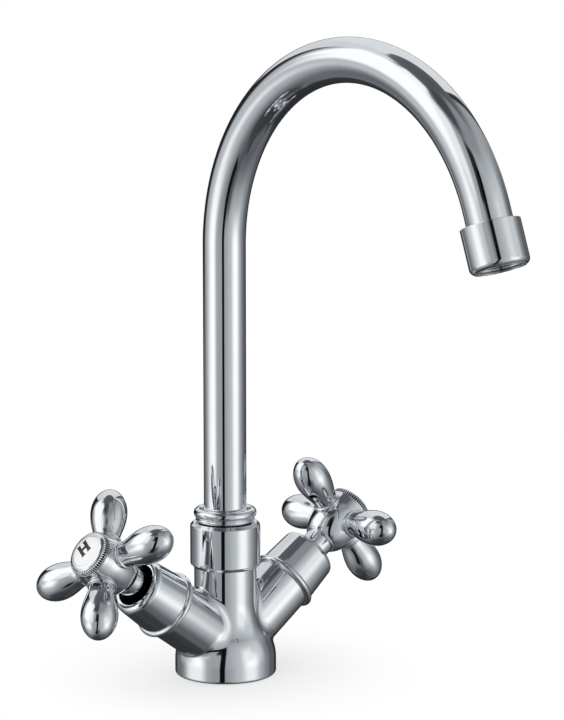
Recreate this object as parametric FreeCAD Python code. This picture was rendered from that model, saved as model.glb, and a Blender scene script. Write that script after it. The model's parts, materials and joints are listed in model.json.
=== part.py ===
import FreeCAD, Part
import math
import os

# Kitchen mixer tap, millimetres.
# Origin at the centre of the foot's underside, +Z up, spout towards -Y,
# hot valve on the -X side and cold valve on the +X side.

Vector = FreeCAD.Vector

# Fits and clearances
running_fit = 0.05
seated_fit = 0.02
turning_gap = 0.3
disc_gap = 0.1

# Pull that turns a cubic curve into a quarter of an ellipse, as a share of its radius
ellipse_pull = 0.5523

# How far a cutting shape runs past the face that it cuts
past = 1.0

# Foot and column of the casting
foot_radius = 23.9
foot_straight = 7.0
foot_edge_round = 1.2
flare_height = 29.0
flare_outer_share = 0.44
column_radius = 14.7
column_height = 51.2
thread_spigot_radius = 13.2
thread_spigot_height = 14.6

# Mixing chamber and the port from each valve
chamber_radius = 9.0
chamber_depth = 22.6
port_well_radius = 5.5
port_well_depth = 9.0
port_radius = 2.6
port_start_above_well = 3.0
port_reach = 4.0

# Underside
inlet_spacing = 17.0
inlet_thread_radius = 4.5
inlet_thread_depth = 12.0
waterway_radius = 3.2
stud_offset = 10.0
stud_thread_radius = 3.4
stud_thread_depth = 14.0
seal_groove_radius = 19.8
seal_width = 2.6
seal_height = 2.0

# Arms, measured outwards along each arm's axis from its crossing with the column axis
arm_tilt = 54.4
arm_origin_height = 12.4
arm_radius = 14.4
arm_length = 42.9
arm_blend_radius = 4.5
arm_edge_chamfer = 0.4
valve_bore_radius = 9.9
valve_bore_depth = 22.9

# Bonnet over the valve
bonnet_length = 22.5
bonnet_base_radius = 14.9
bonnet_tip_radius = 13.8
bonnet_bead_radius = 16.4
bonnet_bead_width = 3.2
bonnet_groove = 0.35
bonnet_shoulder = 3.2
bonnet_mouth_radius = 10.2
bonnet_lip_width = 0.9
bonnet_wall = 1.6

# Valve housing and what it holds
seat_seal_height = 2.4
seat_seal_wall = 3.0
disc_radius = 6.9
disc_height = 3.0
disc_port_radius = 1.7
disc_port_offset = 3.9
housing_bore_fit = 0.1
housing_skirt = 1.0
housing_flange_radius = 12.4
housing_flange_height = 2.2
housing_hex_flats = 19.0
housing_hex_height = 5.4
housing_neck_radius = 8.4
housing_neck_height = 7.6
housing_groove_depth = 1.3
housing_groove_width = 1.9
housing_groove_below_flange = 0.8

# Spindle
spindle_radius = 4.2
spindle_foot_height = 4.0
spline_length = 21.0
spline_root_radius = 3.55
spline_tip_radius = 3.95
spline_count = 20
spindle_groove_depth = 1.0
spindle_groove_width = 1.6
spindle_groove_spacing = 3.2
spindle_groove_from_neck_top = 5.6
clip_thickness = 0.8
clip_width = 2.2
clip_gap_above_neck = 0.3
clip_slot = 3.0
screw_shank_radius = 1.9
screw_shank_length = 11.0
screw_head_radius = 3.6
screw_head_height = 2.4
screw_socket_flats = 3.0
screw_socket_depth = 1.4

# Cross handle, placed along the arm's axis
hub_neck_radius = 7.1
hub_neck_length = 12.0
hub_neck_inside_bonnet = 4.6
hub_step = 1.2
hub_belly_radius = 12.4
hub_bell_length = 14.4
hub_top_radius = 10.9
hub_top_length = 9.0
hub_floor = 3.0
bell_flare = 0.55
bell_rise = 0.15
bell_belly_share = 0.45
brow_share = 0.35
lobe_belly_reach = 27.3
lobe_tip_length = 12.2
lobe_belly_radius = 8.5
lobe_root_radius = 6.0
lobe_ring_radius = 6.8
lobe_ring_height = 1.3
lobe_neck_share = 0.25
lobe_belly_share = 0.45
lobe_count = 4
hot_rest_turn = 31.5
cold_rest_turn = -1.5

# Index ring and disc on the end of each handle
index_ring_radius = 10.8
index_ring_height = 3.6
index_bevel_width = 1.9
index_bevel_height = 1.2
index_bevel_bulge = 0.15
coin_edge_count = 72
coin_edge_depth = 0.3
index_boss_radius = 7.6
index_boss_height = 1.8
index_disc_radius = 8.3
index_disc_height = 0.9
index_disc_recess = 0.25
index_disc_crown = 0.45

# Spout
tube_radius = 10.0
tube_wall = 1.0
riser_height = 203.4
gooseneck_radius = 88.4
gooseneck_sweep = 160.0
tail_length = 6.4
spigot_length = 20.0
spigot_flange_radius = 12.0
spigot_flange_height = 2.2
spigot_sleeve_height = 16.0
spigot_wall = 2.6
spigot_groove_depth = 1.8
spigot_groove_width = 2.6
spigot_groove_spacing = 6.0
spigot_groove_first = 4.0
slip_ring_height = 1.2
bead_radius = 15.0
bead_height = 5.6
bead_foot_radius = 13.3
bead_foot_height = 0.8

# Collar nut
collar_radius = 16.5
collar_height = 21.4
collar_chamfer = 1.5
collar_lip_height = 3.0

# Outlet cup and aerator, measured along the spout's tail
cup_radius = 12.9
cup_length = 19.5
cup_edge_round = 2.6
cup_socket_depth = 6.0
cup_bore_radius = 11.2
washer_land = 1.0
aerator_washer_height = 1.6
aerator_washer_wall = 2.6
aerator_shell_wall = 1.2
aerator_shell_length = 9.0
aerator_lip_width = 2.2
aerator_lip_height = 1.0
aerator_insert_height = 5.0
aerator_hole_radius = 0.8
aerator_hole_ring_radius = 5.6
aerator_hole_count = 12
screen_height = 0.6
screen_slot_count = 7
screen_slot_width = 0.9
screen_bar = 0.8

# Levels that follow from the sizes above
flare_top = foot_straight + flare_height
spigot_top = column_height + thread_spigot_height
flange_bottom = spigot_top + turning_gap
flange_top = flange_bottom + spigot_flange_height
slip_ring_bottom = flange_top + turning_gap
lip_bottom = slip_ring_bottom + slip_ring_height
collar_top = lip_bottom + collar_lip_height
collar_bottom = collar_top - collar_height
bead_bottom = collar_top + turning_gap
bead_centre_height = bead_bottom + bead_foot_height + bead_height / 2
spigot_radius = chamber_radius - running_fit
tube_bore = tube_radius - tube_wall
tube_start = flange_top

# Distances along each arm that follow from the sizes above
bore_floor = arm_length - valve_bore_depth
seal_top = bore_floor + seat_seal_height
fixed_disc_top = seal_top + disc_height
moving_disc_bottom = fixed_disc_top + disc_gap
moving_disc_top = moving_disc_bottom + disc_height
spindle_foot_top = moving_disc_top + spindle_foot_height
housing_cavity_top = spindle_foot_top + turning_gap
flange_seat = arm_length
hex_bottom = flange_seat + housing_flange_height
neck_bottom = hex_bottom + housing_hex_height
neck_top = neck_bottom + housing_neck_height
bonnet_end = arm_length + bonnet_length
clip_bottom = neck_top + clip_gap_above_neck
spline_bottom = clip_bottom + clip_thickness
spindle_end = spline_bottom + spline_length
hub_start = bonnet_end - hub_neck_inside_bonnet
bell_start = hub_start + hub_neck_length
lobe_level = bell_start + hub_bell_length
hub_end = lobe_level + hub_top_length
screw_seat = spindle_end + hub_floor
ring_end = hub_end + index_ring_height
disc_top = ring_end - index_disc_recess
housing_bore = spindle_radius + running_fit


def point(radius, height):
    return Vector(radius, 0, height)


def outline(start, *steps):
    # Edges in the radius-height plane. Each step is its end point alone for a line,
    # (through, end) for an arc, and (pull, pull, end) for a smooth curve.
    edges = []
    here = point(*start)
    for step in steps:
        targets = [point(*p) for p in step]
        if len(targets) == 1:
            edges.append(Part.LineSegment(here, targets[0]).toShape())
        elif len(targets) == 2:
            edges.append(Part.Arc(here, targets[0], targets[1]).toShape())
        else:
            curve = Part.BezierCurve()
            curve.setPoles([here] + targets)
            edges.append(curve.toShape())
        here = targets[-1]
    return edges


def turned(start, *steps):
    # A solid turned about Z from an outline that starts and ends on the axis.
    edges = outline(start, *steps)
    closing = Part.LineSegment(point(*steps[-1][-1]), point(*start)).toShape()
    face = Part.Face(Part.Wire(edges + [closing]))
    return face.revolve(Vector(0, 0, 0), Vector(0, 0, 1), 360)


def rod(radius, bottom, top):
    return Part.makeCylinder(radius, top - bottom, Vector(0, 0, bottom))


def ring(inner, outer, bottom, top):
    return rod(outer, bottom, top).cut(rod(inner, bottom - past, top + past))


def cord_ring(groove_floor, wall, centre):
    # A rubber ring between the floor of its groove and the wall that it seals on.
    section = (wall - groove_floor) / 2
    return Part.makeTorus(groove_floor + section, section, Vector(0, 0, centre))


def hex_bar(flats, bottom, top):
    corner = flats / 2 / math.cos(math.pi / 6)
    corners = [Vector(corner * math.cos(a), corner * math.sin(a), bottom)
               for a in [math.pi / 3 * i for i in range(7)]]
    return Part.Face(Part.makePolygon(corners)).extrude(Vector(0, 0, top - bottom))


def toothed_bar(root, tip, count, bottom, top):
    # A bar with pointed teeth round it, for splines and for a coin edge.
    corners = []
    for i in range(2 * count + 1):
        radius = tip if i % 2 == 0 else root
        angle = math.pi * i / count
        corners.append(Vector(radius * math.cos(angle), radius * math.sin(angle), bottom))
    return Part.Face(Part.makePolygon(corners)).extrude(Vector(0, 0, top - bottom))


def on_arm(shape, side):
    # Moves a shape built along Z on to the arm of that side: -1 hot, +1 cold.
    placed = shape.copy()
    placed.rotate(Vector(0, 0, 0), Vector(0, 1, 0), side * arm_tilt)
    placed.translate(Vector(0, 0, arm_origin_height))
    return placed


def on_tail(shape):
    # Moves a shape built along Z to the end of the gooseneck, Z along the tail.
    turn = 180 - gooseneck_sweep
    reach = gooseneck_radius * (1 - math.cos(math.radians(gooseneck_sweep)))
    rise = gooseneck_radius * math.sin(math.radians(gooseneck_sweep))
    placed = shape.copy()
    placed.rotate(Vector(0, 0, 0), Vector(1, 0, 0), 180 - turn)
    placed.translate(Vector(0, -reach, riser_height + rise))
    return placed


def trunk():
    # Foot, ogee flare and column. The two flare arcs share one tangent where they meet.
    drop = foot_radius - column_radius
    bend = 2 * math.atan2(drop, flare_height)
    both = flare_height / math.sin(bend)
    outer = both * flare_outer_share
    inner = both - outer
    half = bend / 2
    meet = (foot_radius - outer * (1 - math.cos(bend)), foot_straight + outer * math.sin(bend))
    outer_mid = (foot_radius - outer * (1 - math.cos(half)), foot_straight + outer * math.sin(half))
    inner_mid = (column_radius + inner * (1 - math.cos(half)), flare_top - inner * math.sin(half))
    inset = foot_edge_round * (1 - math.cos(math.pi / 4))
    return turned(
        (0, 0),
        [(foot_radius - foot_edge_round, 0)],
        [(foot_radius - inset, inset), (foot_radius, foot_edge_round)],
        [(foot_radius, foot_straight)],
        [outer_mid, meet],
        [inner_mid, (column_radius, flare_top)],
        [(column_radius, column_height)],
        [(0, column_height)],
    )


def inlet_place(side):
    return Vector(side * inlet_spacing / 2, 0, 0)


def valve_ports(side):
    # Inlet from the underside to the seat of the valve, and outlet to the mixing chamber.
    inlet = Part.makeCylinder(inlet_thread_radius, inlet_thread_depth, inlet_place(side))
    tilt = math.radians(arm_tilt)
    meet_height = arm_origin_height + inlet_spacing / 2 / math.tan(tilt)
    riser = Part.makeCylinder(waterway_radius, meet_height, inlet_place(side))
    start = inlet_spacing / 2 / math.sin(tilt) - waterway_radius / 2
    seat_way = on_arm(rod(waterway_radius, start, bore_floor + past), side)
    bore = on_arm(rod(valve_bore_radius, bore_floor, arm_length + past), side)
    well_floor = spigot_top - chamber_depth - port_well_depth
    port_from = Vector(0, 0, well_floor + port_start_above_well)
    wall = valve_bore_radius - port_reach
    along = fixed_disc_top
    port_to = Vector(side * (along * math.sin(tilt) - wall * math.cos(tilt)), 0,
                     arm_origin_height + along * math.cos(tilt) + wall * math.sin(tilt))
    way = port_to - port_from
    port = Part.makeCylinder(port_radius, way.Length, port_from, way)
    return [inlet, riser, seat_way, bore, port]


def body_casting():
    arms = [on_arm(rod(arm_radius, 0, arm_length), side) for side in (-1, 1)]
    outer = trunk().fuse(arms)
    seams = [e for e in outer.Edges if e.Curve.TypeId == "Part::GeomBSplineCurve"]
    outer = outer.makeFillet(arm_blend_radius, seams)
    spigot = rod(thread_spigot_radius, column_height - past, spigot_top)
    chamber = rod(chamber_radius, spigot_top - chamber_depth, spigot_top + past)
    well = rod(port_well_radius, spigot_top - chamber_depth - port_well_depth, spigot_top)
    stud = Part.makeCylinder(stud_thread_radius, stud_thread_depth, Vector(0, stud_offset, 0))
    half = seal_width / 2
    groove = ring(seal_groove_radius - half, seal_groove_radius + half, -past, seal_height)
    cuts = [chamber, well, stud, groove] + valve_ports(-1) + valve_ports(1)
    return outer.fuse(spigot).cut(cuts)


def base_seal():
    return ring(seal_groove_radius - seal_width / 2 + seated_fit,
                seal_groove_radius + seal_width / 2 - seated_fit, 0, seal_height)


def spout_collar_nut():
    bore = thread_spigot_radius + seated_fit
    hole = tube_radius + turning_gap
    cut = collar_chamfer
    body = turned(
        (0, collar_bottom),
        [(collar_radius - cut, collar_bottom)],
        [(collar_radius, collar_bottom + cut)],
        [(collar_radius, collar_top - cut)],
        [(collar_radius - cut, collar_top)],
        [(0, collar_top)],
    )
    column_recess = rod(column_radius + seated_fit, collar_bottom - past, column_height + seated_fit)
    thread = rod(bore, collar_bottom - past, lip_bottom)
    mouth = rod(hole, lip_bottom - past, collar_top + past)
    return body.cut([thread, mouth, column_recess])


def spout_slip_ring():
    return ring(tube_radius + turning_gap, thread_spigot_radius - turning_gap, slip_ring_bottom, lip_bottom)


def spigot_groove_centres():
    first = flange_bottom - spigot_length + spigot_groove_first
    return [first, first + spigot_groove_spacing]


def spout_spigot():
    sleeve_radius = tube_bore - seated_fit
    bore = sleeve_radius - spigot_wall
    bottom = flange_bottom - spigot_length
    solid = rod(spigot_radius, bottom, flange_bottom)
    solid = solid.fuse([rod(spigot_flange_radius, flange_bottom, flange_top),
                        rod(sleeve_radius, flange_top, flange_top + spigot_sleeve_height)])
    floor = spigot_radius - spigot_groove_depth
    half = spigot_groove_width / 2
    grooves = [ring(floor, spigot_radius + past, z - half, z + half) for z in spigot_groove_centres()]
    return solid.cut(grooves + [rod(bore, bottom - past, flange_top + spigot_sleeve_height + past)])


def spout_orings():
    floor = spigot_radius - spigot_groove_depth
    return Part.makeCompound([cord_ring(floor + seated_fit, chamber_radius - seated_fit, z)
                              for z in spigot_groove_centres()])


def spout_bead_ring():
    foot_top = bead_bottom + bead_foot_height
    top = foot_top + bead_height
    crown = bead_radius - bead_height / 2
    body = turned(
        (0, bead_bottom),
        [(bead_foot_radius, bead_bottom)],
        [(bead_foot_radius, foot_top)],
        [(crown, foot_top)],
        [(bead_radius, bead_centre_height), (crown, top)],
        [(0, top)],
    )
    return body.cut(rod(tube_radius + seated_fit, bead_bottom - past, top + past))


def spout_tube():
    # Riser, gooseneck and tail in one sweep of the tube's round wall.
    sweep = math.radians(gooseneck_sweep)

    def on_bend(angle):
        return Vector(0, -gooseneck_radius * (1 - math.cos(angle)),
                      riser_height + gooseneck_radius * math.sin(angle))

    along_tail = Vector(0, -math.sin(sweep), math.cos(sweep))
    tail_end = on_bend(sweep) + along_tail * (tail_length + cup_socket_depth - seated_fit)
    path = Part.Wire([
        Part.LineSegment(Vector(0, 0, tube_start), on_bend(0)).toShape(),
        Part.Arc(on_bend(0), on_bend(sweep / 2), on_bend(sweep)).toShape(),
        Part.LineSegment(on_bend(sweep), tail_end).toShape(),
    ])
    rims = [Part.Wire(Part.makeCircle(r, Vector(0, 0, tube_start))) for r in (tube_radius, tube_bore)]
    outside, inside = [path.makePipeShell([rim], True, False) for rim in rims]
    return outside.cut(inside)


def outlet_cup():
    bottom = tail_length + cup_length
    inset = cup_edge_round * (1 - math.cos(math.pi / 4))
    body = turned(
        (0, tail_length),
        [(cup_radius, tail_length)],
        [(cup_radius, bottom - cup_edge_round)],
        [(cup_radius - inset, bottom - inset), (cup_radius - cup_edge_round, bottom)],
        [(0, bottom)],
    )
    socket = rod(tube_radius + seated_fit, tail_length - past, tail_length + cup_socket_depth)
    waterway = rod(tube_bore, tail_length, bottom)
    thread = rod(cup_bore_radius, washer_level(), bottom + past)
    return on_tail(body.cut([socket, waterway, thread]))


def washer_level():
    return tail_length + cup_socket_depth + washer_land


def shell_top():
    return washer_level() + aerator_washer_height


def aerator_washer():
    outer = cup_bore_radius - seated_fit
    return on_tail(ring(outer - aerator_washer_wall, outer, washer_level(), shell_top()))


def aerator_shell():
    outer = cup_bore_radius - seated_fit
    inner = outer - aerator_shell_wall
    bottom = shell_top() + aerator_shell_length
    wall = ring(inner, outer, shell_top(), bottom)
    lip = ring(outer - aerator_lip_width, outer, bottom - aerator_lip_height, bottom)
    return on_tail(wall.fuse(lip).removeSplitter())


def aerator_insert():
    outer = cup_bore_radius - aerator_shell_wall - 2 * seated_fit
    top = shell_top()
    body = rod(outer, top, top + aerator_insert_height)
    hole = Part.makeCylinder(aerator_hole_radius, aerator_insert_height + 2 * past,
                             Vector(aerator_hole_ring_radius, 0, top - past))
    holes = []
    for i in range(aerator_hole_count):
        copy = hole.copy()
        copy.rotate(Vector(0, 0, 0), Vector(0, 0, 1), 360 / aerator_hole_count * i)
        holes.append(copy)
    return on_tail(body.cut(holes))


def aerator_screen():
    # The slotted face that is seen inside the outlet: parallel bars within a rim.
    outer = cup_bore_radius - aerator_shell_wall - 2 * seated_fit
    bottom = shell_top() + aerator_shell_length - aerator_lip_height
    body = rod(outer, bottom - screen_height, bottom)
    pitch = screen_slot_width + screen_bar
    slots = []
    for i in range(screen_slot_count):
        across = (i - (screen_slot_count - 1) / 2) * pitch
        half = math.sqrt((outer - aerator_lip_width) ** 2 - across ** 2)
        corner = Vector(across - screen_slot_width / 2, -half, bottom - screen_height - past)
        slots.append(Part.makeBox(screen_slot_width, 2 * half, screen_height + 2 * past, corner))
    return on_tail(body.cut(slots))


def bonnet(side):
    # A taper over the valve with a round bead at its foot and a rounded shoulder at its mouth.
    foot = arm_length
    bead_top = foot + bonnet_bead_width
    crown = bonnet_bead_radius - bonnet_bead_width / 2
    shoulder = bonnet_end - bonnet_shoulder
    lip = bonnet_mouth_radius + bonnet_lip_width
    bulge = math.sqrt(0.5)
    brow = (lip + (bonnet_tip_radius - lip) * bulge, shoulder + bonnet_shoulder * bulge)
    body = turned(
        (0, foot),
        [(crown, foot)],
        [(bonnet_bead_radius, foot + bonnet_bead_width / 2), (crown, bead_top)],
        [(bonnet_base_radius - bonnet_groove, bead_top)],
        [(bonnet_base_radius - bonnet_groove, bead_top + bonnet_groove)],
        [(bonnet_base_radius, bead_top + bonnet_groove)],
        [(bonnet_tip_radius, shoulder)],
        [brow, (lip, bonnet_end)],
        [(0, bonnet_end)],
    )
    flange_room = rod(housing_flange_radius + seated_fit, foot - past, neck_bottom)
    tip_room = bonnet_tip_radius - bonnet_wall
    inside = [flange_room, rod(tip_room, foot, shoulder), rod(bonnet_mouth_radius, foot, bonnet_end + past)]
    return on_arm(body.cut(inside), side)


def valve_housing(side):
    thread = valve_bore_radius - housing_bore_fit
    solid = rod(thread, seal_top - housing_skirt, flange_seat).fuse([
        rod(housing_flange_radius, flange_seat, hex_bottom),
        hex_bar(housing_hex_flats, hex_bottom, neck_bottom),
        rod(housing_neck_radius, neck_bottom, neck_top),
    ])
    groove_top = flange_seat - housing_groove_below_flange
    groove_foot = groove_top - housing_groove_width
    groove = ring(thread - housing_groove_depth, thread + past, groove_foot, groove_top)
    cavity = rod(disc_radius + seated_fit, seal_top - housing_skirt - past, housing_cavity_top)
    window = Part.makeBox(2 * thread, 2 * disc_port_offset, disc_height,
                          Vector(-2 * thread, -disc_port_offset, fixed_disc_top))
    if side < 0:
        window.rotate(Vector(0, 0, 0), Vector(0, 0, 1), 180)
    return on_arm(solid.cut([groove, cavity, window, rod(housing_bore, 0, neck_top + past)]), side)


def housing_oring(side):
    floor = valve_bore_radius - housing_bore_fit - housing_groove_depth
    middle = flange_seat - housing_groove_below_flange - housing_groove_width / 2
    return on_arm(cord_ring(floor + seated_fit, valve_bore_radius - seated_fit, middle), side)


def seat_seal(side):
    return on_arm(ring(disc_radius - seat_seal_wall, disc_radius, bore_floor, seal_top), side)


def ported_disc(bottom, top, radius):
    holes = [Part.makeCylinder(disc_port_radius, top - bottom + 2 * past, Vector(0, y, bottom - past))
             for y in (-disc_port_offset, disc_port_offset)]
    return rod(radius, bottom, top).cut(holes)


def fixed_disc(side):
    return on_arm(ported_disc(seal_top, fixed_disc_top, disc_radius), side)


def turned_handle(shape, side):
    # Turns a handle's piece to the rest position and puts it on its arm.
    rested = shape.copy()
    turn = hot_rest_turn if side < 0 else cold_rest_turn
    rested.rotate(Vector(0, 0, 0), Vector(0, 0, 1), turn)
    return on_arm(rested, side)


def moving_disc(side):
    radius = disc_radius - turning_gap
    return turned_handle(ported_disc(moving_disc_bottom, moving_disc_top, radius), side)


def spindle_groove_centres():
    first = neck_top - spindle_groove_from_neck_top
    return [first, first + spindle_groove_spacing]


def spindle(side):
    solid = rod(disc_radius - turning_gap, moving_disc_top, spindle_foot_top)
    solid = solid.fuse([
        rod(spindle_radius, spindle_foot_top, spline_bottom),
        toothed_bar(spline_root_radius, spline_tip_radius, spline_count, spline_bottom, spindle_end),
    ])
    half = spindle_groove_width / 2
    groove_floor = spindle_radius - spindle_groove_depth
    grooves = [ring(groove_floor, spindle_radius + past, z - half, z + half)
               for z in spindle_groove_centres()]
    clip_groove = ring(groove_floor, spindle_radius + past, clip_bottom, spline_bottom)
    hole_floor = screw_seat - screw_shank_length - past
    screw_hole = rod(screw_shank_radius + seated_fit, hole_floor, spindle_end + past)
    return turned_handle(solid.cut(grooves + [clip_groove, screw_hole]), side)


def spindle_orings(side):
    floor = spindle_radius - spindle_groove_depth
    rings = [cord_ring(floor + seated_fit, housing_bore - seated_fit, z) for z in spindle_groove_centres()]
    return turned_handle(Part.makeCompound(rings), side)


def spindle_clip(side):
    inner = spindle_radius - spindle_groove_depth + seated_fit
    outer = spindle_radius + clip_width
    slot = Part.makeBox(outer + past, clip_slot, clip_thickness + 2 * past,
                        Vector(0, -clip_slot / 2, clip_bottom - past))
    return turned_handle(ring(inner, outer, clip_bottom, spline_bottom).cut(slot), side)


def lobe():
    # A teardrop turned about the lobe's own axis, built along Z from the hub's centre,
    # with a raised ring where it leaves the hub and an elliptical tip.
    ring_top = hub_belly_radius + lobe_ring_height / 2
    ring_middle = hub_belly_radius
    ring_foot = hub_belly_radius - lobe_ring_height / 2
    swell = lobe_belly_reach - ring_top
    tip = lobe_belly_reach + lobe_tip_length
    return turned(
        (0, 0),
        [(lobe_root_radius, 0)],
        [(lobe_root_radius, ring_foot)],
        [(lobe_ring_radius, ring_middle), (lobe_root_radius, ring_top)],
        [(lobe_root_radius, ring_top + swell * lobe_neck_share),
         (lobe_belly_radius, lobe_belly_reach - swell * lobe_belly_share),
         (lobe_belly_radius, lobe_belly_reach)],
        [(lobe_belly_radius, lobe_belly_reach + lobe_tip_length * ellipse_pull),
         (lobe_belly_radius * ellipse_pull, tip), (0, tip)],
    )


def cross_handle(side):
    # Neck, bell-shaped hub and four teardrop lobes round the hub's widest level.
    bulge = hub_belly_radius - hub_neck_radius - hub_step
    narrowing = hub_belly_radius - hub_top_radius
    hub = turned(
        (0, hub_start),
        [(hub_neck_radius, hub_start)],
        [(hub_neck_radius, bell_start)],
        [(hub_neck_radius + hub_step, bell_start)],
        [(hub_neck_radius + hub_step + bulge * bell_flare, bell_start + hub_bell_length * bell_rise),
         (hub_belly_radius, lobe_level - hub_bell_length * bell_belly_share),
         (hub_belly_radius, lobe_level)],
        [(hub_belly_radius, lobe_level + hub_top_length * brow_share),
         (hub_top_radius + narrowing * brow_share, hub_end - hub_top_length * brow_share),
         (hub_top_radius, hub_end)],
        [(0, hub_end)],
    )
    lobes = []
    for i in range(lobe_count):
        one = lobe()
        one.rotate(Vector(0, 0, 0), Vector(0, 1, 0), 90)
        one.translate(Vector(0, 0, lobe_level))
        one.rotate(Vector(0, 0, 0), Vector(0, 0, 1), 360 / lobe_count * i)
        lobes.append(one)
    spline_hole = rod(spline_tip_radius + seated_fit, hub_start - past, spindle_end)
    screw_hole = rod(screw_shank_radius + running_fit, hub_start, hub_end + past)
    head_room = rod(screw_head_radius + turning_gap, screw_seat, hub_end + past)
    boss_floor = hub_end - index_boss_height - seated_fit
    boss_room = rod(index_boss_radius + seated_fit, boss_floor, hub_end + past)
    clip_radius = spindle_radius + clip_width + turning_gap
    clip_room = rod(clip_radius, hub_start - past, hub_start + turning_gap)
    holes = [spline_hole, screw_hole, head_room, boss_room, clip_room]
    return turned_handle(hub.fuse(lobes).cut(holes), side)


def handle_screw(side):
    top = screw_seat + screw_head_height
    solid = rod(screw_shank_radius, screw_seat - screw_shank_length, screw_seat)
    solid = solid.fuse(rod(screw_head_radius, screw_seat, top))
    socket = hex_bar(screw_socket_flats, top - screw_socket_depth, top + past)
    return turned_handle(solid.cut(socket), side)


def index_ring(side):
    # Coin-edged ring with a sloping face round the disc, and a boss that seats in the hub.
    root = index_ring_radius - coin_edge_depth
    bevel_foot = ring_end - index_bevel_height
    land = root - index_bevel_width
    middle = (root - index_bevel_width / 2 + index_bevel_bulge,
              ring_end - index_bevel_height / 2 + index_bevel_bulge)
    body = toothed_bar(root, index_ring_radius, coin_edge_count, hub_end, bevel_foot)
    crown = turned(
        (0, hub_end),
        [(root, hub_end)],
        [(root, bevel_foot)],
        [middle, (land, ring_end)],
        [(0, ring_end)],
    )
    boss_foot = hub_end - index_boss_height
    boss = rod(index_boss_radius, boss_foot, hub_end)
    recess = rod(index_disc_radius + seated_fit, disc_top - index_disc_height, ring_end + past)
    head_room = rod(screw_head_radius + turning_gap, boss_foot - past, hub_end + turning_gap)
    return turned_handle(body.fuse([crown, boss]).cut([recess, head_room]), side)


def index_disc(side):
    # Enamel disc with a slightly crowned face.
    summit = disc_top + index_disc_crown
    spread = (index_disc_radius ** 2 + index_disc_crown ** 2) / (2 * index_disc_crown)
    half = index_disc_radius / 2
    brow = (half, summit - spread + math.sqrt(spread ** 2 - half ** 2))
    disc = turned(
        (0, disc_top - index_disc_height),
        [(index_disc_radius, disc_top - index_disc_height)],
        [(index_disc_radius, disc_top)],
        [brow, (0, summit)],
    )
    return turned_handle(disc, side)


fixed_pieces = {
    "body_casting": body_casting,
    "base_seal": base_seal,
    "spout_collar_nut": spout_collar_nut,
    "spout_slip_ring": spout_slip_ring,
    "spout_spigot": spout_spigot,
    "spout_orings": spout_orings,
    "spout_bead_ring": spout_bead_ring,
    "spout_tube": spout_tube,
    "outlet_cup": outlet_cup,
    "aerator_washer": aerator_washer,
    "aerator_shell": aerator_shell,
    "aerator_insert": aerator_insert,
    "aerator_screen": aerator_screen,
}

valve_pieces = {
    "bonnet": bonnet,
    "valve_housing": valve_housing,
    "housing_oring": housing_oring,
    "seat_seal": seat_seal,
    "fixed_disc": fixed_disc,
    "moving_disc": moving_disc,
    "spindle": spindle,
    "spindle_orings": spindle_orings,
    "spindle_clip": spindle_clip,
    "cross_handle": cross_handle,
    "handle_screw": handle_screw,
    "index_ring": index_ring,
    "index_disc": index_disc,
}

os.makedirs("parts", exist_ok=True)
for name, make in fixed_pieces.items():
    make().exportStep("parts/" + name + ".step")
for prefix, side in (("hot_", -1), ("cold_", 1)):
    for name, make in valve_pieces.items():
        make(side).exportStep("parts/" + prefix + name + ".step")
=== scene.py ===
import bmesh
import bpy
import json
import math
import numpy as np
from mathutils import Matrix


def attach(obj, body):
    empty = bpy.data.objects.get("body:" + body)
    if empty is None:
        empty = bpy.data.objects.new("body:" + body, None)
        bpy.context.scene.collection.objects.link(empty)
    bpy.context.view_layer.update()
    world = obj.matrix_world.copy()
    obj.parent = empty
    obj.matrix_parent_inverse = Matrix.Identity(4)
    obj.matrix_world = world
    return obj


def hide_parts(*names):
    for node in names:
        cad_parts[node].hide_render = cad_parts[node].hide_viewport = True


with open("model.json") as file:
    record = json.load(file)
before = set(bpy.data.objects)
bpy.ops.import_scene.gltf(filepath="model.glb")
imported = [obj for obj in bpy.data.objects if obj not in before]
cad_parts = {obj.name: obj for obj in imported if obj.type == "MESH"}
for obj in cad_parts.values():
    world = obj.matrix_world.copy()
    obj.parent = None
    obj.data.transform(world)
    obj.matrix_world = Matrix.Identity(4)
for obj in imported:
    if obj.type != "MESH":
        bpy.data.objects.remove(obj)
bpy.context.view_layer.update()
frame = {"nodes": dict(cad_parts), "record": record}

# Kitchen mixer tap in polished chrome. Shapes are worked out in millimetres and put into the
# meshes in metres. Spout towards -Y, hot valve at -X, cold valve at +X.

millimetre = 0.001
valveSides = (("hot", -1), ("cold", 1))


# Materials

def linearColour(code):
    # sRGB hex to linear RGBA
    parts = [int(code[i:i + 2], 16) / 255 for i in (1, 3, 5)]
    return [c / 12.92 if c <= 0.04045 else ((c + 0.055) / 1.055) ** 2.4 for c in parts] + [1.0]


def addNode(tree, kind, inputs=None, **settings):
    # Adds one node. A socket given as an input is linked, anything else is set as its value,
    # and stops are the places and colours of a ramp.
    node = tree.nodes.new(kind)
    stops = settings.pop("stops", None)
    for key, value in settings.items():
        setattr(node, key, value)
    for key, value in (inputs or {}).items():
        if isinstance(value, bpy.types.NodeSocket):
            tree.links.new(value, node.inputs[key])
        elif isinstance(value, str):
            node.inputs[key].default_value = linearColour(value)
        else:
            node.inputs[key].default_value = value
    if stops:
        elements = node.color_ramp.elements
        while len(elements) < len(stops):
            elements.new(0.5)
        for element, (place, code) in zip(elements, stops):
            element.position = place
            element.color = linearColour(code)
    return node


def patternScale(size):
    # Noise scale for a pattern whose features are this many millimetres apart
    return 1 / (size * millimetre)


def newMaterial(name):
    # Gives a material with a plain shader on its output, and the piece's own coordinates
    material = bpy.data.materials.new(name)
    material.use_nodes = True
    tree = material.node_tree
    tree.nodes.clear()
    shader = addNode(tree, "ShaderNodeBsdfPrincipled")
    addNode(tree, "ShaderNodeOutputMaterial", {"Surface": shader.outputs[0]})
    place = addNode(tree, "ShaderNodeTexCoord")
    return material, tree, shader, place.outputs["Object"]


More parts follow.
